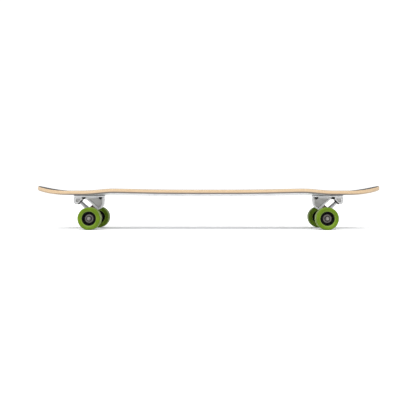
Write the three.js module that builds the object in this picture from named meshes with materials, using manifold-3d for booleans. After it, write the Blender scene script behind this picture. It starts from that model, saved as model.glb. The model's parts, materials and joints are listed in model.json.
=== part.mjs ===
// A longboard skateboard: a pressed maple deck on two reverse-kingpin trucks with 70 mm wheels.
// Millimetres, +Z up, +X towards the nose, +Y to the rider's left. The origin is on the floor
// under the middle of the deck. A truck has its own frame: u runs outboard from the axle towards
// the deck's tip, y across the board and z up from the floor.
import * as THREE from 'three';
import { mergeVertices } from 'three/addons/utils/BufferGeometryUtils.js';
import Module from 'manifold-3d';

const wasm = await Module();
wasm.setup();

// ---- driving dimensions ----

const wheelRadius = 35;
const wheelbase = 733;
const fitGap = 0.3; // between pieces that touch on the real board
const faceGap = 0.2; // between flat faces stacked under the deck
const roundSides = 16; // facets round the turned pieces
const holeSides = 12;
const boltSides = 10;
const cornerSteps = 3; // facets round a plan's corner or a ball's quarter
const cutMargin = 5; // how far a cutter runs past what it cuts
const rootDepth = 1; // how far a lug is sunk into the plate that it grows from

const deck = {
  tipX: 546, // the tips are blunted here
  outlineX: 547, // where the outline's curve would close
  endSquareness: 5.5, // the outline is a superellipse
  sideSquareness: 2.2,
  halfWidth: 120,
  thickness: 13,
  bellyZ: 108, // underside over the trucks, above the floor
  rocker: 4, // how far the middle sags below the trucks
  rockerX: 310,
  concave: 7, // how far the rails rise above the centreline
  concaveFullX: 285,
  concaveEndX: 390,
  flatHalfWidth: 32, // flat strip that the trucks bolt to
  kickX: 438, // the kicks bend up from here to the tips
  kickRadius: 370,
  railEdge: 2.5, // chamfer along the rails
  stations: 32, // facets along the deck and across it
  lanes: 8,
};

const tape = { thickness: 0.7, inset: 3 };

const plate = {
  inner: -31.5,
  outer: 63,
  halfWidth: 29,
  thickness: 5,
  cornerRadius: 10,
};
const riser = { thickness: 1, margin: 1 };

// Mounting holes of the common small pattern, 53.98 by 41.28, and the spare outer pair.
const boltU = [32, -21.98];
const spareHoleU = 41.5;
const boltY = 20.64;
const bolt = {
  radius: 2.4,
  holeRadius: 2.8,
  headRadius: 4.75,
  headHeight: 2.6,
  nutAcrossFlats: 9.5,
  nutHeight: 5.5,
  tail: 2.5,
};

// Steering axis: from the ring round the kingpin up and outboard to the pivot cup.
const steerAngle = THREE.MathUtils.degToRad(45);
const pivotMouth = new THREE.Vector2(45.5, 86);
const bushingSeat = new THREE.Vector2(-2.5, 69.5);
const steerAxis = new THREE.Vector2(Math.cos(steerAngle), Math.sin(steerAngle));
const kingpinAxis = new THREE.Vector2(-Math.sin(steerAngle), Math.cos(steerAngle));

// The truck's steering frame has its origin at the ring's centre, X along the steering axis
// and Z up the kingpin towards the deck.
const seatHeight = bushingSeat.clone().sub(pivotMouth).dot(kingpinAxis);
const ringCentre = bushingSeat.clone().addScaledVector(kingpinAxis, -seatHeight);
const pivotX = pivotMouth.clone().sub(ringCentre).dot(steerAxis);
const axleCentre = new THREE.Vector2(0, wheelRadius);
const axleX = axleCentre.clone().sub(ringCentre).dot(steerAxis);
const axleZ = axleCentre.clone().sub(ringCentre).dot(kingpinAxis);

// The baseplate's two lugs: the block that the kingpin and its bushings hang from, and the boss
// round the pivot cup. The sides of both are sunk inside a rim.
const block = {
  halfWidth: 14, bevel: 1.5, seatReach: 13, noseU: -34.5, noseTopZ: 92, cornerZ: 79, pocketDepth: 2.2,
};
const boss = { halfWidth: 14, bevel: 2, mouthReach: 10.5, pocketDepth: 1.2 };

const ring = { radius: 16.5, holeRadius: 8, height: 9 };
const kingpin = { radius: 4.76, headAcrossFlats: 14.3, headHeight: 6, headZ: seatHeight + 18 };
const seatWasher = { radius: 12.5, height: 1.5 };
const cupWasher = { radius: 11, height: 1.5, rim: 2.5, wall: 0.8 };
const boardsideBushing = { radius: 12.3, waist: 11.6 };
const roadsideBushing = { radius: 9.8, waist: 8.6, height: 11 };
const kingpinNut = { acrossFlats: 14.3, height: 8, tail: 2 };
const pinHoleRadius = 5.2;

const pivotBall = { radius: 5.6, depth: 5 };
const cup = { innerRadius: 6.1, outerRadius: 7.2, flangeRadius: 10.2, flangeHeight: 2 };

const hangerHalfWidth = 90;
const arm = { endRadius: 9, swell: 4, swellReach: 62 }; // the hanger's arms round the axle
const wing = { thickness: 8, reach: 48 };
const webHalfWidth = 16;
const axle = { radius: 4, halfLength: 124, chamfer: 0.8 };
const sleeveRadius = 4.2; // bore of the rings that are clamped on the axle
const hangerBoreRadius = axle.radius + fitGap;
const washer = { radius: 6, height: 1 };
const bearing = { radius: 11, boreRadius: 4.11, width: 7 };
const spacer = { radius: 5.6, length: 10 };
const axleNut = { acrossFlats: 12.7, height: 6 };
const bearingStack = 2 * bearing.width + spacer.length;
const wheelY = hangerHalfWidth + washer.height + bearingStack / 2;
const wheelHalfWidth = 24;
const coreRadius = 22;
const tyreSides = 24;
const faceDish = 4.2; // how far the tyre's inner edge lies below its lips

const finishes = {
  maple: { color: 0xe6c79b, roughness: 0.55, metalness: 0 },
  grit: { color: 0x45464a, roughness: 0.95, metalness: 0 },
  blackRubber: { color: 0x1c1c1e, roughness: 0.8, metalness: 0 },
  castAluminium: { color: 0xa3a4a6, roughness: 0.45, metalness: 0.9 },
  steel: { color: 0xaaa39d, roughness: 0.3, metalness: 1 },
  blackSteel: { color: 0x26262a, roughness: 0.45, metalness: 0.7 },
  bushing: { color: 0x5a1d18, roughness: 0.45, metalness: 0 },
  blackPlastic: { color: 0x121213, roughness: 0.5, metalness: 0 },
  urethane: { color: 0x769632, roughness: 0.4, metalness: 0 },
};

// ---- solids ----

function signedVolume(positions, index) {
  const [a, b, c] = [new THREE.Vector3(), new THREE.Vector3(), new THREE.Vector3()];
  let sum = 0;
  for (let i = 0; i < index.length; i += 3) {
    a.fromArray(positions, 3 * index[i]);
    b.fromArray(positions, 3 * index[i + 1]);
    c.fromArray(positions, 3 * index[i + 2]);
    sum += a.dot(b.cross(c)) / 6;
  }
  return sum;
}

// A closed geometry with its vertices shared, its faces facing out and no collapsed triangles.
function solid(geometry) {
  const bare = geometry.clone();
  bare.deleteAttribute('normal');
  bare.deleteAttribute('uv');
  const merged = mergeVertices(bare, 1e-4);
  const vertProperties = new Float32Array(merged.attributes.position.array);
  const triVerts = [];
  for (let i = 0; i < merged.index.count; i += 3) {
    const [a, b, c] = merged.index.array.slice(i, i + 3);
    if (a !== b && b !== c && c !== a) triVerts.push(a, b, c);
  }
  if (signedVolume(vertProperties, triVerts) < 0) triVerts.reverse();
  return new wasm.Manifold(
    new wasm.Mesh({ numProp: 3, vertProperties, triVerts: new Uint32Array(triVerts) }));
}

function joined(shapes) {
  return shapes.reduce((whole, shape) => whole.add(shape));
}

function cutBy(shape, cutters) {
  return cutters.reduce((whole, cutter) => whole.subtract(cutter), shape);
}

function piece(name, shape, finish) {
  const { vertProperties, triVerts } = shape.getMesh();
  const geometry = new THREE.BufferGeometry();
  geometry.setAttribute('position', new THREE.BufferAttribute(vertProperties, 3));
  geometry.setIndex(new THREE.BufferAttribute(triVerts, 1));
  geometry.computeVertexNormals();
  const mesh = new THREE.Mesh(geometry, new THREE.MeshStandardMaterial(finish));
  mesh.name = name;
  return mesh;
}

// A solid of revolution: the profile's points are [radius, distance along the axis]. It turns
// about Y, and toX and toZ lay its axis along X or Z instead.
function turned(profile, sides) {
  const points = profile.map(([radius, along]) => new THREE.Vector2(radius, along));
  return new THREE.LatheGeometry(points, sides);
}

function toX(geometry) {
  return geometry.rotateZ(-Math.PI / 2);
}

function toZ(geometry) {
  return geometry.rotateX(Math.PI / 2);
}

function tubeProfile(innerRadius, outerRadius, from, to) {
  return [
    [innerRadius, from], [outerRadius, from], [outerRadius, to], [innerRadius, to],
    [innerRadius, from],
  ];
}

function rodProfile(radius, from, to) {
  return [[0, from], [radius, from], [radius, to], [0, to]];
}

function arcPoints(radius, centre, fromAngle, toAngle, steps) {
  return Array.from({ length: steps + 1 }, (_, i) => {
    const angle = fromAngle + ((toAngle - fromAngle) * i) / steps;
    return [radius * Math.cos(angle), centre + radius * Math.sin(angle)];
  });
}

function hexagon(acrossFlats, holeRadius) {
  const corner = acrossFlats / Math.sqrt(3);
  const shape = new THREE.Shape();
  for (let i = 0; i < 6; i += 1) {
    const angle = (i * Math.PI) / 3;
    shape[i ? 'lineTo' : 'moveTo'](corner * Math.cos(angle), corner * Math.sin(angle));
  }
  shape.closePath();
  if (holeRadius) shape.holes.push(new THREE.Path().absarc(0, 0, holeRadius, 0, 2 * Math.PI, true));
  return shape;
}

function roundedPlan(fromU, toU, halfWidth, radius) {
  const shape = new THREE.Shape();
  shape.absarc(toU - radius, halfWidth - radius, radius, 0, Math.PI / 2, false);
  shape.absarc(fromU + radius, halfWidth - radius, radius, Math.PI / 2, Math.PI, false);
  shape.absarc(fromU + radius, radius - halfWidth, radius, Math.PI, 1.5 * Math.PI, false);
  shape.absarc(toU - radius, radius - halfWidth, radius, 1.5 * Math.PI, 2 * Math.PI, false);
  return shape;
}

// A shape drawn in a vertical plane along the board, thickened equally to both sides of y = 0.
function thickened(shape, halfWidth, bevel) {
  const geometry = new THREE.ExtrudeGeometry(shape, {
    depth: 2 * (halfWidth - bevel),
    bevelEnabled: bevel > 0,
    bevelThickness: bevel,
    bevelSize: bevel,
    bevelOffset: -bevel,
    bevelSegments: 1,
    curveSegments: 5,
  });
  return geometry.rotateX(Math.PI / 2).translate(0, halfWidth - bevel, 0);
}

function raised(shape, height, fromZ, arcSteps = 8) {
  const options = { depth: height, bevelEnabled: false, curveSegments: arcSteps };
  return new THREE.ExtrudeGeometry(shape, options).translate(0, 0, fromZ);
}

// ---- deck and grip tape ----

function outlineHalfWidth(x) {
  const share = 1 - Math.abs(x / deck.outlineX) ** deck.endSquareness;
  return deck.halfWidth * share ** (1 / deck.sideSquareness);
}

function bellyCentreZ(x) {
  const sag = Math.max(0, 1 - Math.abs(x / deck.rockerX) ** 3) ** 1.5;
  const past = Math.max(0, Math.abs(x) - deck.kickX);
  return deck.bellyZ - deck.rocker * sag + past ** 2 / (2 * deck.kickRadius);
}

function bellyZ(x, y) {
  const fade = THREE.MathUtils.smoothstep(Math.abs(x), deck.concaveFullX, deck.concaveEndX);
  const across = Math.max(0, Math.abs(y) - deck.flatHalfWidth);
  const ramp = (across / (deck.halfWidth - deck.flatHalfWidth)) ** 2;
  return bellyCentreZ(x) + deck.concave * (1 - fade) * ramp;
}

// A sheet that follows the deck's shape between two heights above its underside, with its
// edges chamfered. The stations along it crowd towards the tips. A direction of -1 builds it
// from the other end, which makes its lower facets run like the upper ones of a first sheet.
function pressedSheet(low, high, inset, edge, direction) {
  const layers = edge > 0 ? [low, low + edge, high - edge, high] : [low, high];
  const steps = layers.length - 1;
  const leastReach = 4;
  const box = new THREE.BoxGeometry(2, 2, steps, deck.stations, deck.lanes, steps);
  box.deleteAttribute('normal');
  box.deleteAttribute('uv');
  const sheet = mergeVertices(box, 1e-4);
  const position = sheet.attributes.position;
  for (let i = 0; i < position.count; i += 1) {
    const layer = Math.round(position.getZ(i) + steps / 2);
    const outside = edge > 0 && (layer === 0 || layer === steps);
    const pulledIn = inset + (outside ? edge : 0);
    const x = direction * (deck.tipX - pulledIn) * Math.sin((position.getX(i) * Math.PI) / 2);
    const reach = Math.max(outlineHalfWidth(x) - pulledIn, leastReach);
    const y = position.getY(i) * reach;
    position.setXYZ(i, x, y, bellyZ(x, y) + layers[layer]);
  }
  return solid(sheet);
}

function boltPlaces() {
  const ends = [1, -1];
  return ends.flatMap((end) => boltU.flatMap((u) => [boltY, -boltY].map(
    (y) => [end * (wheelbase / 2 + u), y])));
}

function deckBoltHole([x, y]) {
  const top = deck.bellyZ + deck.thickness;
  const wide = bolt.headRadius + fitGap;
  const throat = top - bolt.headHeight - fitGap;
  const profile = [
    [0, deck.bellyZ - cutMargin], [bolt.holeRadius, deck.bellyZ - cutMargin],
    [bolt.holeRadius, throat], [wide, top], [wide, top + cutMargin], [0, top + cutMargin],
  ];
  return solid(toZ(turned(profile, holeSides)).translate(x, y, 0));
}

function tapeBoltHole([x, y]) {
  const hole = rodProfile(bolt.headRadius + fitGap, deck.bellyZ, deck.bellyZ + 2 * deck.thickness);
  return solid(toZ(turned(hole, holeSides)).translate(x, y, 0));
}

function deckSolid() {
  const slab = pressedSheet(0, deck.thickness, 0, deck.railEdge, 1);
  return cutBy(slab, boltPlaces().map(deckBoltHole));
}

function tapeSolid() {
  const low = deck.thickness + faceGap;
  const sheet = pressedSheet(low, low + tape.thickness, tape.inset, 0, -1);
  return cutBy(sheet, boltPlaces().map(tapeBoltHole));
}

// ---- under the deck, in the truck's frame ----

const riserTop = deck.bellyZ - faceGap;
const plateTop = riserTop - riser.thickness - faceGap;
const plateBottom = plateTop - plate.thickness;

function uprightHole(u, y, radius) {
  const hole = rodProfile(radius, plateBottom - cutMargin, riserTop + cutMargin);
  return solid(toZ(turned(hole, holeSides)).translate(u, y, 0));
}

function mountingHoles(positions) {
  return positions.flatMap((u) => [boltY, -boltY].map((y) => uprightHole(u, y, bolt.holeRadius)));
}

function riserSolid() {
  const { margin, thickness } = riser;
  const plan = roundedPlan(plate.inner - margin, plate.outer + margin,
    plate.halfWidth + margin, plate.cornerRadius + margin);
  const pad = solid(raised(plan, thickness, riserTop - thickness, cornerSteps));
  return cutBy(pad, mountingHoles(boltU));
}

function boltSolid(u, y) {
  const headTop = deck.bellyZ + deck.thickness;
  const nutTop = plateBottom - faceGap;
  const end = nutTop - bolt.nutHeight - bolt.tail;
  const profile = [
    [0, end], [bolt.radius, end], [bolt.radius, headTop - bolt.headHeight],
    [bolt.headRadius, headTop], [0, headTop],
  ];
  const nut = raised(hexagon(bolt.nutAcrossFlats), bolt.nutHeight, nutTop - bolt.nutHeight);
  const screw = solid(toZ(turned(profile, boltSides)).translate(u, y, 0));
  return screw.add(solid(nut.translate(u, y, 0)));
}

// ---- truck, with its steering frame ----

function inSteerFrame(geometry) {
  return geometry.rotateY(-steerAngle).translate(ringCentre.x, 0, ringCentre.y);
}

// Points on both sides of a seat that lies across the kingpin axis.
function seatCorners(seat, across, reach) {
  return [-reach, reach].map((distance) => seat.clone().addScaledVector(across, distance));
}

function kingpinBlockShape() {
  const [inner, outer] = seatCorners(bushingSeat, steerAxis, block.seatReach);
  const shape = new THREE.Shape();
  shape.moveTo(plate.inner, plateBottom + rootDepth);
  shape.lineTo(block.noseU, block.noseTopZ);
  shape.lineTo(block.noseU, block.cornerZ);
  shape.quadraticCurveTo(block.noseU + 4.5, 67, inner.x, inner.y);
  shape.lineTo(outer.x, outer.y);
  shape.lineTo(27, 95);
  shape.lineTo(34, plateBottom + rootDepth);
  return shape;
}

// The outlines of the sunk panels in the sides of the block and the boss.
function blockPocketShape() {
  const shape = new THREE.Shape();
  shape.moveTo(-27.5, 97);
  shape.lineTo(-27.5, 81);
  shape.quadraticCurveTo(-25.5, 72, -14.5, 66);
  shape.lineTo(3, 83);
  shape.lineTo(21, 97);
  return shape;
}

function pivotBossShape() {
  const [low, high] = seatCorners(pivotMouth, kingpinAxis, boss.mouthReach);
  const shape = new THREE.Shape();
  shape.moveTo(plate.outer, plateBottom + rootDepth);
  shape.lineTo(plate.outer - 0.5, 88);
  shape.quadraticCurveTo(plate.outer - 1.5, low.y, low.x, low.y);
  shape.lineTo(high.x, high.y);
  shape.lineTo(36, plateBottom + rootDepth);
  return shape;
}

function bossPocketShape() {
  const shape = new THREE.Shape();
  shape.moveTo(58, 97);
  shape.lineTo(57.5, 87);
  shape.lineTo(52, 84);
  shape.lineTo(43.5, 93);
  shape.lineTo(42, 97);
  return shape;
}

function kingpinCutter() {
  const bore = kingpin.radius + fitGap;
  const pocket = kingpin.headAcrossFlats / Math.sqrt(3) + fitGap;
  const floor = kingpin.headZ;
  const top = floor + 40;
  const profile = [[0, 0], [bore, 0], [bore, floor], [pocket, floor], [pocket, top], [0, top]];
  return solid(inSteerFrame(toZ(turned(profile, roundSides))));
}

function roundEndProfile(radius, from, centre) {
  return [[0, from], [radius, from], ...arcPoints(radius, centre, 0, Math.PI / 2, cornerSteps)];
}

function pivotCutter() {
  const ballX = pivotX + pivotBall.depth;
  const profile = roundEndProfile(cup.outerRadius + fitGap, pivotX - cutMargin, ballX);
  return solid(inSteerFrame(toX(turned(profile, roundSides))));
}

function baseplateSolid() {
  const plan = roundedPlan(plate.inner, plate.outer, plate.halfWidth, plate.cornerRadius);
  const body = joined([
    solid(raised(plan, plate.thickness, plateBottom, cornerSteps)),
    solid(thickened(kingpinBlockShape(), block.halfWidth, block.bevel)),
    solid(thickened(pivotBossShape(), boss.halfWidth, boss.bevel)),
  ]);
  const sunk = [[blockPocketShape(), block], [bossPocketShape(), boss]];
  const pockets = sunk.flatMap(([shape, lug]) => [1, -1].map((side) => {
    const slot = thickened(shape, lug.pocketDepth, 0);
    return solid(slot.translate(0, side * lug.halfWidth, 0));
  }));
  const holes = mountingHoles([...boltU, spareHoleU]);
  return cutBy(body, [...pockets, ...holes, kingpinCutter(), pivotCutter()]);
}

function pivotCupSolid() {
  const ballX = pivotX + pivotBall.depth;
  const inside = arcPoints(cup.innerRadius, ballX, Math.PI / 2, 0, cornerSteps);
  const outside = arcPoints(cup.outerRadius, ballX, 0, Math.PI / 2, cornerSteps);
  const flangeTop = pivotX - fitGap;
  const mouth = flangeTop - cup.flangeHeight;
  const profile = [
    ...inside, [cup.innerRadius, mouth], [cup.flangeRadius, mouth], [cup.flangeRadius, flangeTop],
    [cup.outerRadius, flangeTop], ...outside,
  ];
  return solid(toX(turned(profile, roundSides)));
}

const ringTop = ring.height / 2;
const seatWasherTop = seatHeight - fitGap;
const seatWasherBottom = seatWasherTop - seatWasher.height;
const roadsideTop = -ringTop - fitGap;
const roadsideBottom = roadsideTop - roadsideBushing.height;
const cupWasherTop = roadsideBottom - fitGap;
const cupWasherBottom = cupWasherTop - cupWasher.height;
const kingpinNutTop = cupWasherBottom - fitGap;

function kingpinSolid() {
  const end = kingpinNutTop - kingpinNut.height - kingpinNut.tail;
  const headZ = kingpin.headZ + fitGap;
  const shaft = solid(toZ(turned(rodProfile(kingpin.radius, end, headZ + rootDepth), roundSides)));
  return shaft.add(solid(raised(hexagon(kingpin.headAcrossFlats), kingpin.headHeight, headZ)));
}

function kingpinNutSolid() {
  const shape = hexagon(kingpinNut.acrossFlats, pinHoleRadius);
  return solid(raised(shape, kingpinNut.height, kingpinNutTop - kingpinNut.height));
}

function seatWasherSolid() {
  const profile = tubeProfile(pinHoleRadius, seatWasher.radius, seatWasherBottom, seatWasherTop);
  return solid(toZ(turned(profile, roundSides)));
}

function cupWasherSolid() {
  const { radius, rim, wall } = cupWasher;
  const profile = [
    [pinHoleRadius, cupWasherBottom], [radius, cupWasherBottom], [radius, cupWasherTop + rim],
    [radius - wall, cupWasherTop + rim], [radius - wall, cupWasherTop],
    [pinHoleRadius, cupWasherTop], [pinHoleRadius, cupWasherBottom],
  ];
  return solid(toZ(turned(profile, roundSides)));
}

function bushingSolid({ radius, waist }, low, high) {
  const profile = [
    [pinHoleRadius, low], [waist, low], [radius, (low + high) / 2], [waist, high],
    [pinHoleRadius, high], [pinHoleRadius, low],
  ];
  return solid(toZ(turned(profile, roundSides)));
}

function hangerArmProfile() {
  const stations = [0, 24, 42, arm.swellReach, hangerHalfWidth];
  const skin = stations.map((y) => {
    const near = Math.max(0, 1 - y / arm.swellReach);
    return [arm.endRadius + arm.swell * near ** 1.5, y];
  });
  const mirrored = skin.slice(1).reverse().map(([radius, y]) => [radius, -y]);
  return [[0, -hangerHalfWidth], ...mirrored, ...skin, [0, hangerHalfWidth]];
}

// The side view of the casting between the ring and the axle.
function hangerWebShape() {
  const shape = new THREE.Shape();
  shape.moveTo(-6, ringTop);
  shape.lineTo(-15, ringTop);
  shape.quadraticCurveTo(axleX - 11, axleZ + 9, axleX - 12, axleZ - 2);
  shape.quadraticCurveTo(axleX - 8, axleZ - 13, axleX + 6, axleZ - 11);
  shape.lineTo(-8, -ringTop);
  shape.lineTo(-6, -ringTop);
  return shape;
}

// Wings seen along the kingpin: they carry the ring's sides out to the arms.
function hangerWingShape() {
  const shape = new THREE.Shape();
  shape.moveTo(2, 15);
  shape.quadraticCurveTo(-9, 20, axleX + 6, wing.reach);
  shape.lineTo(axleX - 5, wing.reach);
  shape.lineTo(axleX - 9, 0);
  shape.lineTo(axleX - 5, -wing.reach);
  shape.lineTo(axleX + 6, -wing.reach);
  shape.quadraticCurveTo(-9, -20, 2, -15);
  return shape;
}

function pivotArmProfile() {
  const ballX = pivotX + pivotBall.depth;
  return [
    [0, 10], [8, 10], [8, 17], [6.6, 30], [pivotBall.radius, pivotX - 4],
    ...arcPoints(pivotBall.radius, ballX, 0, Math.PI / 2, cornerSteps),
  ];
}

function hangerSolid() {
  const seatRadius = boardsideBushing.radius + 1;
  const clear = 30; // longer than anything that stands over or under the ring
  const reliefX = -cupWasher.radius - 2 * fitGap;
  const relief = new THREE.BoxGeometry(2 * clear, 4 * cupWasher.radius, clear)
    .translate(reliefX + clear, 0, -ringTop - clear / 2);
  const boreReach = hangerHalfWidth + cutMargin;
  const bore = turned(rodProfile(hangerBoreRadius, -boreReach, boreReach), roundSides);
  const body = joined([
    solid(toZ(turned(rodProfile(ring.radius, -ringTop, ringTop), 24))),
    solid(turned(hangerArmProfile(), roundSides).translate(axleX, 0, axleZ)),
    solid(thickened(hangerWebShape(), webHalfWidth, 2)),
    solid(raised(hangerWingShape(), wing.thickness, -ringTop)),
    solid(toX(turned(pivotArmProfile(), roundSides))),
  ]);
  return cutBy(body, [
    solid(toZ(turned(rodProfile(ring.holeRadius, -clear, clear), roundSides))),
    solid(toZ(turned(rodProfile(seatRadius, ringTop, ringTop + clear), 24))),
    solid(relief),
    solid(bore.translate(axleX, 0, axleZ)),
  ]);
}

// ---- axle and wheels, turned about Y ----

function axleSolid() {
  const { radius, halfLength, chamfer } = axle;
  const profile = [
    [0, -halfLength], [radius - chamfer, -halfLength], [radius, chamfer - halfLength],
    [radius, halfLength - chamfer], [radius - chamfer, halfLength], [0, halfLength],
  ];
  return solid(turned(profile, roundSides));
}

function ringOnAxle(innerRadius, outerRadius, length, sides) {
  return solid(turned(tubeProfile(innerRadius, outerRadius, -length / 2, length / 2), sides));
}

function axleNutSolid() {
  const nut = raised(hexagon(axleNut.acrossFlats, sleeveRadius), axleNut.height, 0);
  return solid(nut.translate(0, 0, -axleNut.height / 2).rotateX(Math.PI / 2));
}

// Widened by half a facet's sag, so that the flat under the wheel lies on the floor.
function tyreSolid() {
  const sag = 1 / Math.cos(Math.PI / tyreSides);
  const half = [
    [coreRadius + fitGap, wheelHalfWidth - faceDish], [25.8, wheelHalfWidth - 1],
    [31, wheelHalfWidth], [33.6, wheelHalfWidth - 0.9], [wheelRadius, 19.6],
  ];
  const side = half.map(([radius, y]) => [radius * sag, y]);
  const mirrored = side.map(([radius, y]) => [radius, -y]).reverse();
  const profile = [...side, ...mirrored, side[0]];
  return solid(turned(profile, tyreSides).rotateY(Math.PI / tyreSides));
}

function coreSolid() {
  const seat = bearing.radius + fitGap;
  const shoulder = spacer.length / 2 - 0.1;
  const mouth = bearingStack / 2;
  const half = [
    [9.2, shoulder], [seat, shoulder], [seat, mouth], [13.6, mouth], [14, 3.5], [19.8, 3.5],
    [coreRadius, wheelHalfWidth - faceDish - 0.4],
  ];
  const mirrored = half.map(([radius, y]) => [radius, -y]).reverse();
  return solid(turned([...half, ...mirrored, half[0]], roundSides));
}

// ---- assembly ----

function truckGroup(end) {
  const truck = new THREE.Group();
  const steering = new THREE.Group();
  steering.position.set(ringCentre.x, 0, ringCentre.y);
  steering.rotation.y = -steerAngle;
  truck.add(steering);

  truck.add(piece(`${end.name}_riser_pad`, riserSolid(), finishes.blackRubber));
  truck.add(piece(`${end.name}_baseplate`, baseplateSolid(), finishes.castAluminium));
  boltU.flatMap((u) => [boltY, -boltY].map((y) => [u, y])).forEach(([u, y], i) => {
    truck.add(piece(`${end.name}_mounting_bolt_${i + 1}`, boltSolid(u, y), finishes.blackSteel));
  });

  const boardside = bushingSolid(boardsideBushing, ringTop + fitGap, seatWasherBottom - fitGap);
  const roadside = bushingSolid(roadsideBushing, roadsideBottom, roadsideTop);
  steering.add(piece(`${end.name}_pivot_cup`, pivotCupSolid(), finishes.blackRubber));
  steering.add(piece(`${end.name}_kingpin`, kingpinSolid(), finishes.steel));
  steering.add(piece(`${end.name}_seat_washer`, seatWasherSolid(), finishes.steel));
  steering.add(piece(`${end.name}_boardside_bushing`, boardside, finishes.bushing));
  steering.add(piece(`${end.name}_roadside_bushing`, roadside, finishes.bushing));
  steering.add(piece(`${end.name}_cup_washer`, cupWasherSolid(), finishes.steel));
  steering.add(piece(`${end.name}_kingpin_nut`, kingpinNutSolid(), finishes.steel));
  steering.add(piece(`${end.name}_hanger`, hangerSolid(), finishes.castAluminium));

  const axleGroup = new THREE.Group();
  axleGroup.position.z = wheelRadius;
  axleGroup.add(piece(`${end.name}_axle`, axleSolid(), finishes.steel));
  for (const side of [1, -1]) axleGroup.add(wheelGroup(end, side));
  truck.add(axleGroup);

  truck.position.x = end.direction * (wheelbase / 2);
  truck.rotation.z = end.direction > 0 ? 0 : Math.PI;
  return truck;
}

// One wheel and what holds it on its end of the axle, stacked outwards from the hanger.
function wheelGroup(end, side) {
  const corner = `${end.name}_${side * end.direction > 0 ? 'left' : 'right'}`;
  const group = new THREE.Group();
  const bearingOffset = (spacer.length + bearing.width) / 2;
  const washerOffset = (bearingStack + washer.height) / 2;
  const nutOffset = bearingStack / 2 + washer.height + axleNut.height / 2 + fitGap;
  const bearingWidth = bearing.width - fitGap;
  const bearingRing = ringOnAxle(bearing.boreRadius, bearing.radius, bearingWidth, roundSides);
  const spacerRing = ringOnAxle(sleeveRadius, spacer.radius, spacer.length, holeSides);
  const washerRing = ringOnAxle(sleeveRadius, washer.radius, washer.height, holeSides);
  const rows = [
    ['tyre', tyreSolid(), finishes.urethane, 0],
    ['wheel_core', coreSolid(), finishes.blackPlastic, 0],
    ['inner_bearing', bearingRing, finishes.steel, -bearingOffset],
    ['outer_bearing', bearingRing, finishes.steel, bearingOffset],
    ['bearing_spacer', spacerRing, finishes.steel, 0],
    ['speed_washer', washerRing, finishes.steel, washerOffset],
    ['axle_nut', axleNutSolid(), finishes.steel, nutOffset],
  ];
  for (const [name, shape, finish, offset] of rows) {
    const mesh = piece(`${corner}_${name}`, shape, finish);
    mesh.position.y = side * (wheelY + offset);
    group.add(mesh);
  }
  return group;
}

const group = new THREE.Group();
group.add(piece('deck', deckSolid(), finishes.maple));
group.add(piece('grip_tape', tapeSolid(), finishes.grit));
for (const end of [{ name: 'front', direction: 1 }, { name: 'rear', direction: -1 }]) {
  group.add(truckGroup(end));
}

export default group;
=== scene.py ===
import json
import math

import bmesh
import bpy
from mathutils import Matrix, Vector


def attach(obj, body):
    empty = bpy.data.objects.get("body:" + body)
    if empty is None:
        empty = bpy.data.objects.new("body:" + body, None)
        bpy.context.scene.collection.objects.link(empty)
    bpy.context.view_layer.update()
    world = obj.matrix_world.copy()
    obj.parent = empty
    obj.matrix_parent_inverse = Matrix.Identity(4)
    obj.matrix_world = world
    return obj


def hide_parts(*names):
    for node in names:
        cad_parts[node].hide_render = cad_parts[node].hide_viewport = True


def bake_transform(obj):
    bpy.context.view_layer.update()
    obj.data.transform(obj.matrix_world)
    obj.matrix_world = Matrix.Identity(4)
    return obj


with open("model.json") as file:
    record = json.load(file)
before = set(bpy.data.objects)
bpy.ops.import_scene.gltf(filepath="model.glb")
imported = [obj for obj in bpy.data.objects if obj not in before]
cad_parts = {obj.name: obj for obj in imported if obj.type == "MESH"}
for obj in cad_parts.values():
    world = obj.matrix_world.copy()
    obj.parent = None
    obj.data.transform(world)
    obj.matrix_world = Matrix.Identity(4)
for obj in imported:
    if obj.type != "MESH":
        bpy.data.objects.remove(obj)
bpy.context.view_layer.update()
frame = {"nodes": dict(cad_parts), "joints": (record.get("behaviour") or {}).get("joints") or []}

MM = 0.001
JOINTS = {joint["name"]: joint for joint in frame["joints"]}
ENDS = (("front", 1), ("rear", -1))
SIDES = ("left", "right")


# ---- sizes, in millimetres ----

WHEEL_RADIUS = 35.0
WHEEL_HALF_WIDTH = 24.0
CORE_RADIUS = 22.0

DECK_LENGTH = 1094.0
DECK_HALF_WIDTH = 120.0
DECK_THICKNESS = 13.0
END_SQUARENESS = 5.5
SIDE_SQUARENESS = 2.2
BELLY_Z = 108.0
ROCKER = 4.0
ROCKER_X = 310.0
CONCAVE = 7.0
CONCAVE_FULL_X = 285.0
CONCAVE_END_X = 390.0
FLAT_HALF_WIDTH = 32.0
KICK_X = 438.0
KICK_RADIUS = 370.0
TIP_BLUNTING = 0.7
RAIL_ROUND = 3.0
PLIES = 9
TAPE_THICKNESS = 0.45
TAPE_INSET = 2.2

PLATE_INNER = -31.5
PLATE_OUTER = 63.0
PLATE_HALF_WIDTH = 29.0
PLATE_CORNER = 10.0
PLATE_TOP = BELLY_Z - 1.4
PLATE_BOTTOM = PLATE_TOP - 5.0
RISER_MARGIN = 1.0
ROOT_Z = PLATE_BOTTOM + 2
BLOCK_HALF_WIDTH = 14.0
BOSS_HALF_WIDTH = 14.0
BOSS_NOSE = 65.8
BLOCK_PANEL_DEPTH = 2.3
BOSS_PANEL_DEPTH = 1.4
SEAT_REACH = 13.0
MOUTH_REACH = 12.0
BOLT_U = (32.0, -21.98)
SPARE_HOLE_U = 41.5
BOLT_Y = 20.64
BOLT_RADIUS = 2.4
HOLE_RADIUS = 2.8
BOLT_NUT_HEX = 9.5

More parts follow.
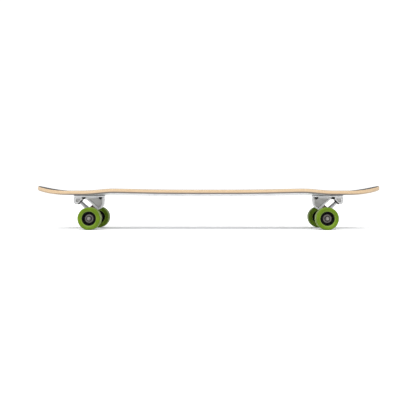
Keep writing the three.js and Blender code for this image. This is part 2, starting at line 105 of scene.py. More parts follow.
SEAT = Vector((-2.5, 69.5))
PIVOT_MOUTH = Vector((45.5, 86.0))
STEER_AXIS = Vector((math.sqrt(0.5), math.sqrt(0.5)))
KINGPIN_AXIS = Vector((-math.sqrt(0.5), math.sqrt(0.5)))
SEAT_HEIGHT = (SEAT - PIVOT_MOUTH).dot(KINGPIN_AXIS)
RING_CENTRE = SEAT - KINGPIN_AXIS * SEAT_HEIGHT
PIVOT_X = (PIVOT_MOUTH - RING_CENTRE).dot(STEER_AXIS)
BALL_X = PIVOT_X + 5.0
AXLE_X = (Vector((0.0, WHEEL_RADIUS)) - RING_CENTRE).dot(STEER_AXIS)
AXLE_Z = (Vector((0.0, WHEEL_RADIUS)) - RING_CENTRE).dot(KINGPIN_AXIS)
RING_TOP = 4.5
RING_RADIUS = 16.5
HANGER_HALF_WIDTH = 90.0
KINGPIN_RADIUS = 4.76
KINGPIN_HEX = 14.3
HEAD_Z = SEAT_HEIGHT + 18
PIN_HOLE_RADIUS = 5.1
BALL_RADIUS = 5.6
CUP_INSIDE_RADIUS = 6.0
CUP_OUTSIDE_RADIUS = 7.35

AXLE_RADIUS = 4.0
AXLE_HALF_LENGTH = 124.0
AXLE_NUT_HEX = 12.7
BEARING_RADIUS = 11.0
BEARING_HALF_WIDTH = 3.45
BEARING_OFFSET = 8.5
WASHER_OFFSET = 12.5
NUT_OFFSET = 16.0
RIBS = 9


# ---- studio light, as shares of full white ----

FRONT_GLOW = 0.9
BACK_GLOW = 1.1
OVERHEAD_GLOW = 0.65
KEY_STRENGTH = 2.9
KEY_SPREAD = 60.0


# ---- frames of the trucks ----

def truck_frame(end, direction):
    axle = Vector(JOINTS[f"{end}_left_wheel_spin"]["pos_m"])
    turn = Matrix.Rotation(0 if direction > 0 else math.pi, 4, "Z")
    return Matrix.Translation((axle.x, 0, 0)) @ turn @ Matrix.Scale(MM, 4)


def steer_frame(end, direction):
    joint = JOINTS[f"{end}_steer"]
    x_axis = Vector(joint["axis"]).normalized()
    y_axis = Vector((0, direction, 0))
    z_axis = x_axis.cross(y_axis)
    turn = Matrix((x_axis, y_axis, z_axis)).transposed().to_4x4()
    return Matrix.Translation(joint["pos_m"]) @ turn @ Matrix.Scale(MM, 4)


def wheel_frame(end, side):
    """Z runs along the axle, out of the wheel's outer face."""
    joint = JOINTS[f"{end}_{side}_wheel_spin"]
    outward = 1 if joint["pos_m"][1] > 0 else -1
    turn = Matrix.Rotation(-outward * math.pi / 2, 4, "X")
    return Matrix.Translation(joint["pos_m"]) @ turn @ Matrix.Scale(MM, 4)


# ---- mesh helpers ----

def add_object(name, vertices, faces, place=None, sharp=35):
    mesh = bpy.data.meshes.new(name)
    mesh.from_pydata([tuple(v) for v in vertices], [], faces)
    if place is not None:
        mesh.transform(place)
    mesh.validate()
    recalculate_normals(mesh)
    mesh.shade_smooth()
    mesh.set_sharp_from_angle(angle=math.radians(sharp))
    piece = bpy.data.objects.new(name, mesh)
    bpy.context.scene.collection.objects.link(piece)
    return piece


def recalculate_normals(mesh):
    shape = bmesh.new()
    shape.from_mesh(mesh)
    bmesh.ops.remove_doubles(shape, verts=shape.verts, dist=1e-7)
    bmesh.ops.recalc_face_normals(shape, faces=shape.faces)
    shape.to_mesh(mesh)
    shape.free()


def filleted(points, radius, steps=4, closed=True):
    """The same outline with its corners rounded."""
    count = len(points)
    rounded = []
    for i, point in enumerate(points):
        if not closed and i in (0, count - 1):
            rounded.append(tuple(point))
            continue
        corner = Vector(point)
        before = Vector(points[i - 1]) - corner
        after = Vector(points[(i + 1) % count]) - corner
        reach = min(radius, 0.48 * before.length, 0.48 * after.length)
        start = corner + before.normalized() * reach
        end = corner + after.normalized() * reach
        for k in range(steps + 1):
            t = k / steps
            p = start * (1 - t) ** 2 + corner * (2 * t * (1 - t)) + end * t ** 2
            rounded.append((p.x, p.y))
    return rounded


def bezier(start, control, end, steps=10):
    """Points of a quadratic curve, its start left out."""
    a, b, c = Vector(start), Vector(control), Vector(end)
    found = []
    for k in range(1, steps + 1):
        t = k / steps
        p = a * (1 - t) ** 2 + b * (2 * t * (1 - t)) + c * t ** 2
        found.append((p.x, p.y))
    return found


def arc(radius, centre, start, end, steps=10):
    """Profile points of an arc about a point on the axis."""
    angles = [start + (end - start) * k / steps for k in range(steps + 1)]
    return [(radius * math.cos(a), centre + radius * math.sin(a)) for a in angles]


def spun(name, profile, place, segments=64, closed=True, sharp=35):
    """A solid of revolution about the frame's Z. A profile point is (radius, height), where the
    radius may be a function of the angle. An open profile starts and ends on the axis."""
    count = len(profile)
    vertices = []
    for s in range(segments):
        angle = 2 * math.pi * s / segments
        for radius, height in profile:
            r = radius(angle) if callable(radius) else radius
            h = height(angle) if callable(height) else height
            vertices.append((r * math.cos(angle), r * math.sin(angle), h))
    faces = []
    for s in range(segments):
        here, there = s * count, (s + 1) % segments * count
        for i in range(count if closed else count - 1):
            j = (i + 1) % count
            faces.append((here + i, here + j, there + j, there + i))
    return add_object(name, vertices, faces, place, sharp)


def prism(name, outline, low, high, place=None, upright=True, sharp=35):
    """An outline raised along Z, or, if not upright, one drawn in X and Z thickened along Y."""
    count = len(outline)
    vertices = []
    for level in (low, high):
        for a, b in outline:
            vertices.append((a, b, level) if upright else (a, level, b))
    faces = [tuple(range(count - 1, -1, -1)), tuple(range(count, 2 * count))]
    for i in range(count):
        j = (i + 1) % count
        faces.append((i, j, count + j, count + i))
    return add_object(name, vertices, faces, place, sharp)


def along_x(place):
    """The frame whose Z is the given frame's X."""
    return place @ Matrix.Rotation(math.pi / 2, 4, "Y")


def along_y(place):
    """The frame whose Z is the given frame's Y."""
    return place @ Matrix.Rotation(-math.pi / 2, 4, "X")


def finished_mesh(piece):
    """Replaces the piece's mesh by the one its modifiers give."""
    graph = bpy.context.evaluated_depsgraph_get()
    made = bpy.data.meshes.new_from_object(piece.evaluated_get(graph))
    piece.modifiers.clear()
    piece.data = made
    return piece


def combine(base, others, operation):
    for other in others:
        change = base.modifiers.new("combine", "BOOLEAN")
        change.operation = operation
        change.solver = "EXACT"
        change.object = other
        finished_mesh(base)
        bpy.data.objects.remove(other)
    return base


def cast_surface(piece, voxel, rounds, place):
    """Remeshes a sharp solid finely and softens its corners, as a casting's are."""
    remesh = piece.modifiers.new("remesh", "REMESH")
    remesh.mode = "VOXEL"
    remesh.voxel_size = voxel
    finished_mesh(piece)
    soften = piece.modifiers.new("soften", "SMOOTH")
    soften.factor = 0.5
    soften.iterations = rounds
    finished_mesh(piece)
    piece.data.transform(place)
    piece.data.shade_smooth()
    return piece


def place_piece(piece, body, material, slot, *nodes):
    piece.data.materials.clear()
    piece.data.materials.append(material)
    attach(piece, body)
    if nodes:
        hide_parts(*nodes)
    return piece


def hex_radius(across_flats):
    """The radius of a hexagon as a function of the angle."""
    def radius(angle):
        off = (angle % (math.pi / 3)) - math.pi / 6
        return across_flats / 2 / math.cos(off)
    return radius


def nut_profile(across_flats, hole, low, high, chamfer=0.28):
    """A hexagon nut whose corners are turned down at both faces."""
    flat = across_flats / 2 * 0.97
    corner = hex_radius(across_flats)

    def drop(angle):
        return (corner(angle) - flat) * chamfer * 2

    return [
        (hole + 0.4, low), (flat, low), (corner, lambda a: low + drop(a)),
        (corner, lambda a: high - drop(a)), (flat, high), (hole + 0.4, high),
        (hole, high - 0.4), (hole, low + 0.4),
    ]


def threaded(radius, low, high, pitch=1.05, depth=0.32):
    """Profile points up a threaded rod."""
    points = []
    turns = max(1, int((high - low) / pitch))
    step = (high - low) / turns
    for k in range(turns):
        base = low + k * step
        points += [(radius - depth, base + 0.1 * step), (radius, base + 0.45 * step)]
        points += [(radius, base + 0.6 * step), (radius - depth, base + 0.95 * step)]
    return points


# ---- materials ----

class Surface:
    """A material with a Principled shader and short calls for its nodes."""

    def __init__(self, name, roughness=0.5, metallic=0.0):
        self.material = bpy.data.materials.new(name)
        self.material.use_nodes = True
        self.tree = self.material.node_tree
        self.shader = self.tree.nodes["Principled BSDF"]
        self.shader.inputs["Roughness"].default_value = roughness
        self.shader.inputs["Metallic"].default_value = metallic
        self.place = self.tree.nodes.new("ShaderNodeTexCoord").outputs["Object"]

    def node(self, kind, **inputs):
        made = self.tree.nodes.new("ShaderNode" + kind)
        for key, value in inputs.items():
            socket = made.inputs[key.replace("_", " ")]
            if isinstance(value, bpy.types.NodeSocket):
                self.tree.links.new(value, socket)
            else:
                socket.default_value = value
        return made

    def stretched(self, scale):
        return self.node("Mapping", Vector=self.place, Scale=scale).outputs["Vector"]

    def noise(self, scale, detail=4.0, stretch=(1, 1, 1), distortion=0.0):
        made = self.node("TexNoise", Vector=self.stretched(stretch), Scale=scale, Detail=detail,
                         Distortion=distortion)
        return made.outputs["Fac"]

    def ramp(self, factor, *stops):
        made = self.node("ValToRGB", Fac=factor)
        elements = made.color_ramp.elements
        while len(elements) < len(stops):
            elements.new(0.5)
        for element, (position, colour) in zip(elements, stops):
            element.position = position
            element.color = (*colour, 1)
        return made.outputs["Color"]

    def level(self, factor, low, high, low_out, high_out):
        made = self.node("MapRange", Value=factor)
        made.inputs["From Min"].default_value = low
        made.inputs["From Max"].default_value = high
        made.inputs["To Min"].default_value = low_out
        made.inputs["To Max"].default_value = high_out
        return made.outputs["Result"]

    def math(self, operation, first, second=0.0):
        made = self.tree.nodes.new("ShaderNodeMath")
        made.operation = operation
        for socket, value in zip(made.inputs, (first, second)):
            if isinstance(value, bpy.types.NodeSocket):
                self.tree.links.new(value, socket)
            else:
                socket.default_value = value
        return made.outputs["Value"]

    def mix(self, factor, first, second, blend="MIX"):
        made = self.tree.nodes.new("ShaderNodeMix")
        made.data_type = "RGBA"
        made.blend_type = blend
        sockets = (made.inputs[0], made.inputs[6], made.inputs[7])
        for socket, value in zip(sockets, (factor, first, second)):
            if isinstance(value, bpy.types.NodeSocket):
                self.tree.links.new(value, socket)
            elif isinstance(value, tuple):
                socket.default_value = (*value, 1)
            else:
                socket.default_value = value
        return made.outputs[2]

    def set(self, **sockets):
        for key, value in sockets.items():
            socket = self.shader.inputs[key.replace("_", " ")]
            if isinstance(value, bpy.types.NodeSocket):
                self.tree.links.new(value, socket)
            elif isinstance(value, tuple):
                socket.default_value = (*value, 1)
            else:
                socket.default_value = value
        return self

    def bump(self, height, distance, strength=1.0):
        made = self.node("Bump", Height=height, Distance=distance, Strength=strength)
        self.tree.links.new(made.outputs["Normal"], self.shader.inputs["Normal"])
        return self


def maple_edge():
    """Ply edges: bands of face and cross grain with thin glue lines, read from the height."""
    surface = Surface("maple_edge", roughness=0.5)
    height = surface.node("Attribute")
    height.attribute_name = "ply"
    ply = surface.math("MULTIPLY", height.outputs["Fac"], float(PLIES))
    number = surface.math("FLOOR", ply)
    wave = surface.math("MODULO", number, 2.0)
    fibres = surface.noise(900.0, 6.0, stretch=(0.05, 0.6, 3.0))
    pores = surface.noise(260.0, 3.0, stretch=(1.0, 1.0, 4.0))
    face = surface.ramp(fibres, (0.25, (0.455, 0.315, 0.17)), (0.75, (0.65, 0.51, 0.35)))
    cross = surface.ramp(pores, (0.3, (0.36, 0.235, 0.115)), (0.7, (0.58, 0.435, 0.275)))
    banded = surface.mix(surface.math("MULTIPLY", wave, 0.55), face, cross)
    edge = surface.math("ABSOLUTE", surface.math("SUBTRACT", surface.math("FRACT", ply), 0.5))
    glue = surface.level(edge, 0.44, 0.5, 0.0, 0.45)
    broad = surface.noise(9.0, 2.0, stretch=(1.0, 3.0, 3.0))
    tinted = surface.mix(surface.level(broad, 0.3, 0.7, 0.0, 0.25), banded, (0.48, 0.31, 0.165))
    wood = surface.mix(glue, tinted, (0.30, 0.16, 0.07))
    # The dark line along the lower corner is partly a paint edge and partly painted shade.
    surface.set(Base_Color=surface.mix(lower_paint_and_shade_line(surface, ply), wood, (0.13, 0.105, 0.09)))
    surface.set(Roughness=surface.level(fibres, 0.2, 0.8, 0.42, 0.6))
    surface.set(Coat_Weight=0.25, Coat_Roughness=0.25)
    return surface.bump(fibres, 0.00008).material


def lower_paint_and_shade_line(surface, ply):
    """How much of the dark line along the lower rounded corner shows: partly a dark paint edge,
    partly painted shade of the downward-facing round-over. It fades on the kicks.
    """
    axes = surface.node("SeparateXYZ", Vector=surface.place)
    along = surface.math("ABSOLUTE", axes.outputs["X"])
    kept = surface.level(along, 0.42, 0.49, 1.0, 0.3)
    return surface.math("MULTIPLY", surface.level(ply, 2.2, 3.2, 1.0, 0.0), kept)


def painted_belly():
    """A pale lacquered underside with a faint, broad, generic tonal swirl."""
    surface = Surface("painted_belly", roughness=0.35)
    swirl = surface.noise(5.5, 2.0, stretch=(1.0, 2.2, 1.0), distortion=1.4)
    bands = surface.math("PINGPONG", surface.math("MULTIPLY", swirl, 9.0), 1.0)
    tone = surface.ramp(bands, (0.30, (0.38, 0.395, 0.43)), (0.55, (0.50, 0.51, 0.53)))
    scuff = surface.noise(60.0, 6.0, stretch=(0.4, 3.0, 1.0))
    surface.set(Base_Color=surface.mix(surface.level(scuff, 0.62, 0.75, 0.0, 0.2), tone,
                                       (0.33, 0.33, 0.34)))
    surface.set(Roughness=surface.level(scuff, 0.3, 0.8, 0.28, 0.5))
    surface.set(Coat_Weight=0.4, Coat_Roughness=0.12)
    return surface.bump(surface.noise(700.0, 3.0), 0.00003).material


def grit():
    """Silicon carbide grains on film: a fine rough field with a few glinting faces."""
    surface = Surface("grit", roughness=0.9)
    grains = surface.node("TexVoronoi", Vector=surface.place, Scale=1500.0)
    rough = surface.noise(1100.0, 5.0)
    worn = surface.noise(7.0, 4.0, stretch=(1.0, 1.6, 1.0))
    dark = surface.ramp(worn, (0.35, (0.040, 0.040, 0.043)), (0.7, (0.065, 0.065, 0.070)))
    value = surface.node("SeparateColor", Color=grains.outputs["Color"]).outputs["Red"]
    glint = surface.level(value, 0.93, 0.98, 0.0, 0.6)
    surface.set(Base_Color=surface.mix(glint, dark, (0.42, 0.43, 0.46)))
    surface.set(Roughness=surface.level(value, 0.9, 1.0, 0.95, 0.45))
    height = surface.math("ADD", surface.math("MULTIPLY", grains.outputs["Distance"], -1.0), rough)
    return surface.bump(height, 0.0005).material


def cast_aluminium(name="cast_aluminium", dark=(0.58, 0.58, 0.585), pale=(0.70, 0.70, 0.705)):
    """Tumbled castings: sandy skin, convex edges paler as partly polished wear and partly painted
    highlight, and concave corners darkened as painted shade.
    """
    surface = Surface(name, roughness=0.45, metallic=0.85)
    sand = surface.noise(1400.0, 5.0)
    cloud = surface.noise(55.0, 4.0)
    point = surface.node("NewGeometry").outputs["Pointiness"]
    panel_shade = surface.node("Attribute")
    panel_shade.attribute_name = "panel_shade"
    tone = surface.ramp(cloud, (0.3, dark), (0.7, pale))
    # Sunk panel floors darkened: painted shade in the recesses.
    tone = surface.mix(panel_shade.outputs["Fac"], tone, (0.40, 0.395, 0.39))
    # Convex edges paler: partly polished wear, partly painted highlight.
    edge = surface.level(point, 0.50, 0.56, 0.0, 0.85)
    # Concave corners darkened toward grey: painted shade.
    painted_hollow_shade = surface.level(point, 0.495, 0.43, 0.0, 0.85)
    worn = surface.mix(edge, tone, (0.90, 0.90, 0.90))
    surface.set(Base_Color=surface.mix(painted_hollow_shade, worn, (0.16, 0.16, 0.165)))
    surface.set(Roughness=surface.level(cloud, 0.3, 0.7, 0.36, 0.54))
    return surface.bump(sand, 0.00012).material


def steel(name="zinc_steel", tone=(0.56, 0.54, 0.51), roughness=0.28):
    """Plated steel with turning marks and slight tarnish."""
    surface = Surface(name, roughness=roughness, metallic=1.0)
    cloud = surface.noise(240.0, 5.0)
    fine = surface.noise(2600.0, 2.0)
    dull = tuple(0.62 * c for c in tone)
    surface.set(Base_Color=surface.ramp(cloud, (0.3, dull), (0.65, tone)))
    surface.set(Roughness=surface.level(cloud, 0.3, 0.7, roughness * 0.8, roughness * 1.6))
    return surface.bump(fine, 0.00003).material


def black_steel():
    surface = Surface("black_oxide_steel", roughness=0.4, metallic=0.8)
    cloud = surface.noise(300.0, 5.0)
    surface.set(Base_Color=surface.ramp(cloud, (0.3, (0.012, 0.012, 0.013)),
                                        (0.75, (0.045, 0.043, 0.042))))
    surface.set(Roughness=surface.level(cloud, 0.3, 0.7, 0.3, 0.55))
    return surface.bump(surface.noise(2400.0, 3.0), 0.00004).material


def green_urethane():
    """Cast urethane, satin on the faces and dusty where it has rolled."""
    surface = Surface("green_urethane", roughness=0.4)
    cloud = surface.noise(42.0, 4.0)
    dust = surface.noise(500.0, 6.0)
    green = surface.ramp(cloud, (0.3, (0.079, 0.147, 0.001)), (0.7, (0.112, 0.190, 0.003)))
    tread = surface.node("Attribute")
    tread.attribute_name = "tread"
    worn = surface.level(dust, 0.35, 0.7, 0.15, 0.7)
    rolled = surface.math("MULTIPLY", tread.outputs["Fac"], worn)
    # The inner bevel round the core is paler: a painted highlight.
    bevel_highlight = surface.node("Attribute")
    bevel_highlight.attribute_name = "bevel_highlight"
    highlight_share = surface.math("MULTIPLY", bevel_highlight.outputs["Fac"], 0.45)
    faces = surface.mix(highlight_share, green, (0.22, 0.33, 0.06))
    surface.set(Base_Color=surface.mix(rolled, faces, (0.24, 0.30, 0.10)))
    surface.set(Roughness=surface.level(rolled, 0.0, 0.6, 0.42, 0.7))
    surface.set(Subsurface_Weight=0.12, Subsurface_Scale=0.004, Specular_IOR_Level=0.17)
    surface.shader.inputs["Subsurface Radius"].default_value = (0.6, 1.0, 0.2)
    return surface.bump(dust, 0.00008).material


def black_nylon():
    """Nylon, nearly black, painted grey where the attribute marks the hub lip: a painted
    highlight.
    """
    surface = Surface("black_nylon", roughness=0.45)
    fine = surface.noise(1700.0, 4.0)
    cloud = surface.noise(80.0, 3.0)
    black = surface.ramp(cloud, (0.3, (0.003, 0.003, 0.003)), (0.7, (0.007, 0.007, 0.007)))
    lip = surface.node("Attribute")
    lip.attribute_name = "lip"
    # The grey on the marked lip is a painted highlight.
    surface.set(Base_Color=surface.mix(lip.outputs["Fac"], black, (0.10, 0.09, 0.085)))
    surface.set(Roughness=surface.level(fine, 0.3, 0.7, 0.42, 0.6))
    surface.set(Specular_IOR_Level=0.14)
    return surface.bump(fine, 0.00005).material


def bushing_urethane():
    surface = Surface("bushing_urethane", roughness=0.3)
    cloud = surface.noise(130.0, 4.0)
    surface.set(Base_Color=surface.ramp(cloud, (0.3, (0.060, 0.018, 0.012)),
                                        (0.7, (0.100, 0.032, 0.020))))
    surface.set(Subsurface_Weight=0.2, Subsurface_Scale=0.003, Coat_Weight=0.3)
    surface.set(Roughness=surface.level(cloud, 0.3, 0.7, 0.24, 0.42))
    return surface.bump(surface.noise(1500.0, 3.0), 0.00004).material


def black_rubber(name="black_rubber", roughness=0.75):
    surface = Surface(name, roughness=roughness)
    fine = surface.noise(1900.0, 5.0)
    surface.set(Base_Color=surface.ramp(fine, (0.3, (0.010, 0.010, 0.009)),
                                        (0.7, (0.022, 0.021, 0.018))))
    surface.set(Roughness=surface.level(fine, 0.3, 0.7, roughness - 0.12, roughness + 0.1))
    return surface.bump(fine, 0.00006).material


MAPLE_EDGE = maple_edge()
BELLY = painted_belly()
GRIT = grit()
ALUMINIUM = cast_aluminium()
# A darker copy of the cast aluminium for the hangers: painted shade from the deck above them.
SHADED_HANGER_ALUMINIUM = cast_aluminium("hanger_aluminium_shaded", (0.36, 0.36, 0.37), (0.46, 0.46, 0.47))
STEEL = steel()
# Bearing steel darker than the other steel: painted shade of the races sunk in the wheel hubs.
SHADED_RACE_STEEL = steel("race_steel_shaded", (0.26, 0.24, 0.23), 0.3)
AXLE_STEEL = steel("axle_steel", (0.38, 0.365, 0.34), 0.3)
DARK_STEEL = steel("dark_plated_steel", (0.07, 0.066, 0.06), 0.4)
BLACK_STEEL = black_steel()
URETHANE = green_urethane()
NYLON = black_nylon()
BUSHING = bushing_urethane()
RUBBER = black_rubber()
SEAL = black_rubber("bearing_seal", 0.6)


# ---- deck and grip tape ----

def outline_half_width(x):
    share = min(1.0, abs(x) / (DECK_LENGTH / 2))
    return DECK_HALF_WIDTH * (1 - share ** END_SQUARENESS) ** (1 / SIDE_SQUARENESS)


def belly_z(x, y):
    sag = max(0.0, 1 - abs(x / ROCKER_X) ** 3) ** 1.5
    rise = max(0.0, abs(x) - KICK_X) ** 2 / (2 * KICK_RADIUS)
    t = (abs(x) - CONCAVE_FULL_X) / (CONCAVE_END_X - CONCAVE_FULL_X)
    t = min(1.0, max(0.0, t))
    across = max(0.0, abs(y) - FLAT_HALF_WIDTH) / (DECK_HALF_WIDTH - FLAT_HALF_WIDTH)
    lift = CONCAVE * (1 - t * t * (3 - 2 * t)) * across ** 2
    return BELLY_Z - ROCKER * sag + rise + lift


def pressed_sheet(name, layers, stations=150, lanes=48):
    """A sheet that follows the deck. Each layer is (inset, height above the belly), from the
    middle of the lower face round the edge to the upper face."""
    tip = DECK_LENGTH / 2 - TIP_BLUNTING
    vertices, rings = [], []

    def point(s, t, inset, height):
        x = (tip - inset) * math.sin(s * math.pi / 2)
        wide = max(outline_half_width(x * tip / (tip - inset)) - inset, 0.5)
        y = t * wide
        vertices.append((x, y, belly_z(x, y) + height))
        return len(vertices) - 1

    columns = [2 * i / stations - 1 for i in range(stations + 1)]
    rows = [2 * j / lanes - 1 for j in range(lanes + 1)]
    border = [(s, -1.0) for s in columns] + [(1.0, t) for t in rows[1:]]
    border += [(s, 1.0) for s in reversed(columns[:-1])]
    border += [(-1.0, t) for t in reversed(rows[1:-1])]
    faces, heights = [], []
    for inset, height in layers:
        rings.append([point(s, t, inset, height) for s, t in border])
        heights += [height] * len(border)
    for lower, upper in zip(rings, rings[1:]):
        for i in range(len(border)):
            j = (i + 1) % len(border)
            faces.append((lower[i], lower[j], upper[j], upper[i]))
    for (inset, height), upward in ((layers[0], False), (layers[-1], True)):
        grid = [[point(s, t, inset, height) for t in rows] for s in columns]
        heights += [height] * (len(columns) * len(rows))
        for i in range(stations):
            for j in range(lanes):
                quad = (grid[i][j], grid[i + 1][j], grid[i + 1][j + 1], grid[i][j + 1])
                faces.append(quad if upward else quad[::-1])
    mesh = bpy.data.meshes.new(name)
    mesh.from_pydata(vertices, [], faces)
    mesh.attributes.new("ply", "FLOAT", "POINT").data.foreach_set(
        "value", [h / DECK_THICKNESS for h in heights])
    mesh.transform(Matrix.Scale(MM, 4))
    recalculate_normals(mesh)
    mesh.shade_smooth()
    piece = bpy.data.objects.new(name, mesh)
    bpy.context.scene.collection.objects.link(piece)
    return piece


def rounded_edge(thickness, radius, inset=0.0, steps=5):
    """Layers of a sheet whose edge is rounded at both faces."""
    layers = []
    for k in range(steps + 1):
        a = math.pi / 2 * k / steps
        layers.append((inset + radius * (1 - math.sin(a)), radius * (1 - math.cos(a))))
    middle = [(inset, radius + (thickness - 2 * radius) * k / 4) for k in range(1, 4)]
    upper = [(x, thickness - h) for x, h in reversed(layers)]
    return layers + middle + upper


def bolt_places():
    for end, direction in ENDS:
        place = truck_frame(end, direction)
        corners = [(u, y) for u in BOLT_U for y in (BOLT_Y, -BOLT_Y)]
        for number, (u, y) in enumerate(corners, 1):
            yield f"{end}_mounting_bolt_{number}", place @ Matrix.Translation((u, y, 0))


def make_deck():
    deck = pressed_sheet("maple_deck", rounded_edge(DECK_THICKNESS, RAIL_ROUND))
    place_piece(deck, "board", MAPLE_EDGE, "maple", "deck")
    deck.data.materials.append(BELLY)
    for face in deck.data.polygons:
        below = face.normal.z < -0.93
        face.material_index = 1 if below else 0
    return deck


def make_tape():
    top = DECK_THICKNESS + 0.05
    layers = [(TAPE_INSET, top), (TAPE_INSET, top + 0.6 * TAPE_THICKNESS),
              (TAPE_INSET + 0.25, top + TAPE_THICKNESS)]
    tape = pressed_sheet("grit_sheet", layers)
    cutters = []
    for name, place in bolt_places():
        disc = [(0, 110), (5.1, 110), (5.1, 130), (0, 130)]
        cutters.append(spun(name + "_hole", disc, place, 40, closed=False))
    combine(tape, cutters, "DIFFERENCE")
    tape.data.shade_smooth()
    tape.data.set_sharp_from_angle(angle=math.radians(40))
    return place_piece(tape, "board", GRIT, "grit", "grip_tape")


# ---- bolts, riser pads ----

def make_bolt(node, place):
    """Flat-head socket bolt, flush with the grip tape, and its flanged lock nut."""
    top = BELLY_Z + DECK_THICKNESS + 0.55
    nut_top = PLATE_BOTTOM - 0.05
    nut_low = nut_top - 5.5
    end = nut_low - 2.5
    socket = hex_radius(3.2)
    profile = [
        (0, end), (BOLT_RADIUS - 0.5, end), (BOLT_RADIUS, end + 0.5),
        *threaded(BOLT_RADIUS, end + 0.5, nut_low - 0.1, 0.8, 0.2),
        (BOLT_RADIUS, nut_low + 0.1), (BOLT_RADIUS, top - 2.8), (4.7, top - 0.45),
        (4.75, top - 0.1), (4.6, top), (2.15, top), (socket, top - 0.25), (socket, top - 2.0),
        (0, top - 2.2),
    ]
    bolt = spun(node + "_screw", profile, place, 48, closed=False, sharp=30)
    place_piece(bolt, "board", BLACK_STEEL, "black_steel", node)
    hexagon = nut_profile(BOLT_NUT_HEX, BOLT_RADIUS, nut_low, nut_top)
    nut = spun(node + "_nut", hexagon, place, 72, sharp=25)
    place_piece(nut, "board", BLACK_STEEL, "black_steel")
    collar = [(BOLT_RADIUS + 0.1, nut_low - 0.9), (3.3, nut_low - 0.9), (3.8, nut_low - 0.4),
              (3.9, nut_low + 0.2), (BOLT_RADIUS + 0.1, nut_low + 0.2)]
    crown = spun(node + "_nut_collar", collar, place, 40)
    place_piece(crown, "board", BLACK_STEEL, "black_steel")


def plan_outline(inner, outer, half_width, corner):
    box = [(inner, -half_width), (outer, -half_width), (outer, half_width), (inner, half_width)]
    points = []
    centres = [(inner + corner, corner - half_width), (outer - corner, corner - half_width),
               (outer - corner, half_width - corner), (inner + corner, half_width - corner)]
    for k in range(len(box)):
        start = math.pi + k * math.pi / 2
        for step in range(9):
            a = start + math.pi / 2 * step / 8
            cx, cy = centres[k]
            points.append((cx + corner * math.cos(a), cy + corner * math.sin(a)))
    return points


def bolt_cutters(positions, place, low=80, high=120, radius=HOLE_RADIUS):
    cutters = []
    for u in positions:
        for y in (BOLT_Y, -BOLT_Y):
            hole = [(0, low), (radius, low), (radius, high), (0, high)]
            spot = place @ Matrix.Translation((u, y, 0))
            cutters.append(spun("hole", hole, spot, 32, closed=False))
    return cutters


def make_riser(end, place):
    outline = plan_outline(PLATE_INNER - RISER_MARGIN, PLATE_OUTER + RISER_MARGIN,
                           PLATE_HALF_WIDTH + RISER_MARGIN, PLATE_CORNER + RISER_MARGIN)
    pad = prism(f"{end}_riser", outline, PLATE_TOP + 0.05, BELLY_Z - 0.05, place)
    combine(pad, bolt_cutters(BOLT_U, place), "DIFFERENCE")
    pad.data.shade_smooth()
    pad.data.set_sharp_from_angle(angle=math.radians(35))
    place_piece(pad, "board", RUBBER, "black_rubber", f"{end}_riser_pad")


# ---- castings, made once in millimetres and copied to both trucks ----

def at_origin():
    return Matrix.Identity(4)


def steer_in_truck():
    turn = Matrix.Rotation(-math.pi / 4, 4, "Y")
    return Matrix.Translation((RING_CENTRE.x, 0, RING_CENTRE.y)) @ turn


def seat_corners(seat, across, reach):
    """Points on both sides of a seat that lies across the kingpin axis."""
    ends = (seat - across * reach, seat + across * reach)
    return [(end.x, end.y) for end in ends]


def kingpin_block():
    inner, outer = seat_corners(SEAT, STEER_AXIS, SEAT_REACH)
    outline = [(PLATE_INNER, ROOT_Z), (PLATE_INNER, 79)]
    outline += bezier((PLATE_INNER, 79), (PLATE_INNER + 4.5, 67), inner)
    outline += [outer, (27, 95), (34.5, ROOT_Z)]
    return prism("block", outline, -BLOCK_HALF_WIDTH, BLOCK_HALF_WIDTH, upright=False)


def block_pocket(side):
    outline = [(-26.5, 97), (-26.5, 81)]
    outline += bezier((-26.5, 81), (-24.5, 72), (-14.5, 66))
    outline = filleted([*outline, (3, 83), (21, 97)], 2.5)
    face = side * BLOCK_HALF_WIDTH
    low, high = face - BLOCK_PANEL_DEPTH, face + BLOCK_PANEL_DEPTH
    return prism("pocket", outline, low, high, upright=False)


def boss_pocket(side):
    outline = filleted([(58, 97), (57.5, 87), (52, 84), (43.5, 93), (42, 97)], 2)
    face = side * BOSS_HALF_WIDTH
    low, high = face - BOSS_PANEL_DEPTH, face + BOSS_PANEL_DEPTH
    return prism("pocket", outline, low, high, upright=False)


def pivot_boss():
    low, high = seat_corners(PIVOT_MOUTH, KINGPIN_AXIS, MOUTH_REACH)
    start = (PLATE_OUTER, ROOT_Z)
    turn = (BOSS_NOSE, 88)
    outline = [start, (BOSS_NOSE, 97), turn, *bezier(turn, (BOSS_NOSE - 1.5, low[1]), low)]
    outline += [high, (36, ROOT_Z)]
    return prism("boss", outline, -BOSS_HALF_WIDTH, BOSS_HALF_WIDTH, upright=False)


